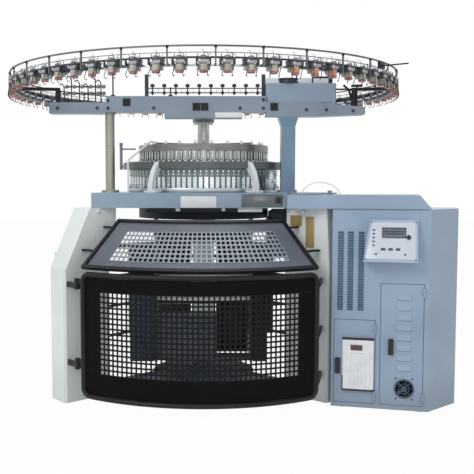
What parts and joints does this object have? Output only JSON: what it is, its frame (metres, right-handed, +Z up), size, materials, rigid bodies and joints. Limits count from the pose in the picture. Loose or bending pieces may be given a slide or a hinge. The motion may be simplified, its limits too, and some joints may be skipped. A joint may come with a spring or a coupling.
{
  "type": "industrial knitting machine",
  "caption": "Large circular knitting machine with a feeder ring, needle cylinder, guarded take-down and a floor-standing control cabinet.",
  "frame": {"origin": "on the floor under the machine's vertical axis, centre of the floor anchor circle", "axes": "+Z up along the cylinder's axis, +X towards the control cabinet, +Y to the rear"},
  "size_m": [2.6786, 2.442, 1.922],
  "materials": {
    "pale_enamel": "off-white satin enamel",
    "yoke_enamel": "grey satin enamel",
    "blue_enamel": "blue-grey satin enamel",
    "guard_grey": "grey powder coat",
    "black_enamel": "black powder coat",
    "turned_steel": "ground and turned",
    "cam_steel": "ground cam segments",
    "dark_steel": "blackened",
    "gear_iron": "machined teeth",
    "cast_grey": "dark grey enamel",
    "feeder_body": "dark moulded housing",
    "belt_rubber": "matt",
    "tube_white": "white nylon tube",
    "console_shell": "pale blue-grey enamel",
    "screen_glass": "dark display window",
    "key_plastic": "moulded",
    "handle_black": "moulded",
    "unit_white": "moulded housing"
  },
  "bodies": {
    "frame": {"base_frame": "cast_grey", "levelling_feet": "black_enamel", "machine_legs": "pale_enamel", "bed_plate": "blue_enamel", "round_columns": "turned_steel", "square_column": "blue_enamel", "top_yoke": "yoke_enamel", "beam_caps": "black_enamel", "drive_housing": "blue_enamel", "motor": "cast_grey", "drive_belt": "belt_rubber", "cam_rings": "turned_steel", "cam_blocks": "cam_steel", "guide_ring": "black_enamel", "guide_brackets": "pale_enamel", "air_pipe": "tube_white", "dial_cams": "cam_steel", "dial_plate": "dark_steel", "dial_post": "turned_steel", "feeder_rail": "turned_steel", "yarn_feeders": "feeder_body", "feeder_tape": "belt_rubber", "upper_hoop": "black_enamel", "ring_struts": "black_enamel", "guide_rail": "dark_steel", "signal_rod": "black_enamel", "guard_mounts": "dark_steel", "upper_guard_frame": "black_enamel", "upper_guard_panel": "guard_grey", "rear_guards": "guard_grey", "cabinet_shell": "blue_enamel", "cabinet_cover": "blue_enamel", "control_unit": "cast_grey", "console": "console_shell", "console_screen": "screen_glass"},
    "knitting_cylinder": {"ring_gear": "gear_iron", "needle_cylinder": "turned_steel", "takedown_frame": "blue_enamel", "takedown_gearbox": "cast_grey"},
    "dial": {"dial_disc": "turned_steel"},
    "drive_train": {"drive_shaft": "turned_steel", "drive_pinion": "gear_iron", "shaft_pulleys": "dark_steel"},
    "motor_rotor": {"motor_pulley": "dark_steel"},
    "draw_roller_a": {"draw_roller_front": "turned_steel"},
    "draw_roller_b": {"draw_roller_rear": "turned_steel"},
    "fabric_roller": {"cloth_roller": "turned_steel"},
    "guard_door": {"guard_door_frame": "black_enamel", "guard_door_panel": "guard_grey"},
    "left_cabinet_door": {"cabinet_door_left": "blue_enamel", "inverter_unit": "unit_white"},
    "right_cabinet_door": {"cabinet_door_right": "blue_enamel", "fan_grille": "black_enamel"},
    "left_handle": {"door_handle_left": "handle_black"},
    "right_handle": {"door_handle_right": "handle_black"},
    "fan": {"fan_rotor": "handle_black"},
    "key_1": {"console_key_1": "key_plastic"},
    "key_2": {"console_key_2": "key_plastic"},
    "key_3": {"console_key_3": "key_plastic"},
    "knob": {"console_knob": "handle_black"}
  },
  "joints": [
    {"name": "cylinder_turn", "type": "hinge", "parent": "frame", "child": "knitting_cylinder", "pos_m": [0, 0, 1.2], "axis": [0, 0, 1], "continuous": true},
    {"name": "dial_turn", "type": "hinge", "parent": "frame", "child": "dial", "pos_m": [0, 0, 1.38], "axis": [0, 0, 1], "continuous": true},
    {"name": "drive_shaft_turn", "type": "hinge", "parent": "frame", "child": "drive_train", "pos_m": [0.51372, -0.30019, 1.2], "axis": [0, 0, 1], "continuous": true},
    {"name": "motor_turn", "type": "hinge", "parent": "frame", "child": "motor_rotor", "pos_m": [0.5, 0.06, 1.06], "axis": [0, 0, 1], "continuous": true},
    {"name": "draw_roller_front_turn", "type": "hinge", "parent": "knitting_cylinder", "child": "draw_roller_a", "pos_m": [0, -0.0275, 0.64], "axis": [1, 0, 0], "continuous": true},
    {"name": "draw_roller_rear_turn", "type": "hinge", "parent": "knitting_cylinder", "child": "draw_roller_b", "pos_m": [0, 0.0275, 0.64], "axis": [1, 0, 0], "continuous": true},
    {"name": "cloth_roller_turn", "type": "hinge", "parent": "knitting_cylinder", "child": "fabric_roller", "pos_m": [0, 0, 0.5], "axis": [1, 0, 0], "continuous": true},
    {"name": "guard_door_hinge", "type": "hinge", "parent": "frame", "child": "guard_door", "pos_m": [-0.69076, -0.85607, 0.48], "axis": [0, 0, -1], "range_deg": [0, 100]},
    {"name": "left_cabinet_door_hinge", "type": "hinge", "parent": "frame", "child": "left_cabinet_door", "pos_m": [0.93671, -0.86853, 0.27], "axis": [0, 0, 1], "range_deg": [0, 95]},
    {"name": "right_cabinet_door_hinge", "type": "hinge", "parent": "frame", "child": "right_cabinet_door", "pos_m": [1.18359, -0.92826, 0.37], "axis": [0, 0, 1], "range_deg": [0, 110]},
    {"name": "left_handle_turn", "type": "hinge", "parent": "left_cabinet_door", "child": "left_handle", "pos_m": [0.74299, -0.81446, 0.268], "axis": [0.2351, 0.972, 0], "range_deg": [0, 90]},
    {"name": "right_handle_turn", "type": "hinge", "parent": "right_cabinet_door", "child": "right_handle", "pos_m": [1.02, -0.88148, 0.385], "axis": [0.2351, 0.972, 0], "range_deg": [0, 90]},
    {"name": "fan_turn", "type": "hinge", "parent": "right_cabinet_door", "child": "fan", "pos_m": [1.09283, -0.89087, 0.132], "axis": [0.2351, 0.972, 0], "continuous": true},
    {"name": "key_1_press", "type": "slide", "parent": "frame", "child": "key_1", "axis": [0.2097, 0.8669, -0.4521], "range_m": [0, 0.003], "stiffness_N_per_m": 300, "springref_m": -0.001},
    {"name": "key_2_press", "type": "slide", "parent": "frame", "child": "key_2", "axis": [0.2097, 0.8669, -0.4521], "range_m": [0, 0.003], "stiffness_N_per_m": 300, "springref_m": -0.001},
    {"name": "key_3_press", "type": "slide", "parent": "frame", "child": "key_3", "axis": [0.2097, 0.8669, -0.4521], "range_m": [0, 0.003], "stiffness_N_per_m": 300, "springref_m": -0.001},
    {"name": "knob_turn", "type": "hinge", "parent": "frame", "child": "knob", "pos_m": [1.08301, -0.96551, 0.96056], "axis": [-0.2097, -0.8669, 0.4521], "range_deg": [-150, 150]}
  ],
  "couplings": [
    {"joint": "dial_turn", "follows": "cylinder_turn", "ratio": 1},
    {"joint": "drive_shaft_turn", "follows": "cylinder_turn", "ratio": -2.4},
    {"joint": "motor_turn", "follows": "cylinder_turn", "ratio": -5.8667},
    {"joint": "draw_roller_front_turn", "follows": "cylinder_turn", "ratio": 0.2},
    {"joint": "draw_roller_rear_turn", "follows": "cylinder_turn", "ratio": -0.2},
    {"joint": "cloth_roller_turn", "follows": "cylinder_turn", "ratio": 0.11556}
  ]
}
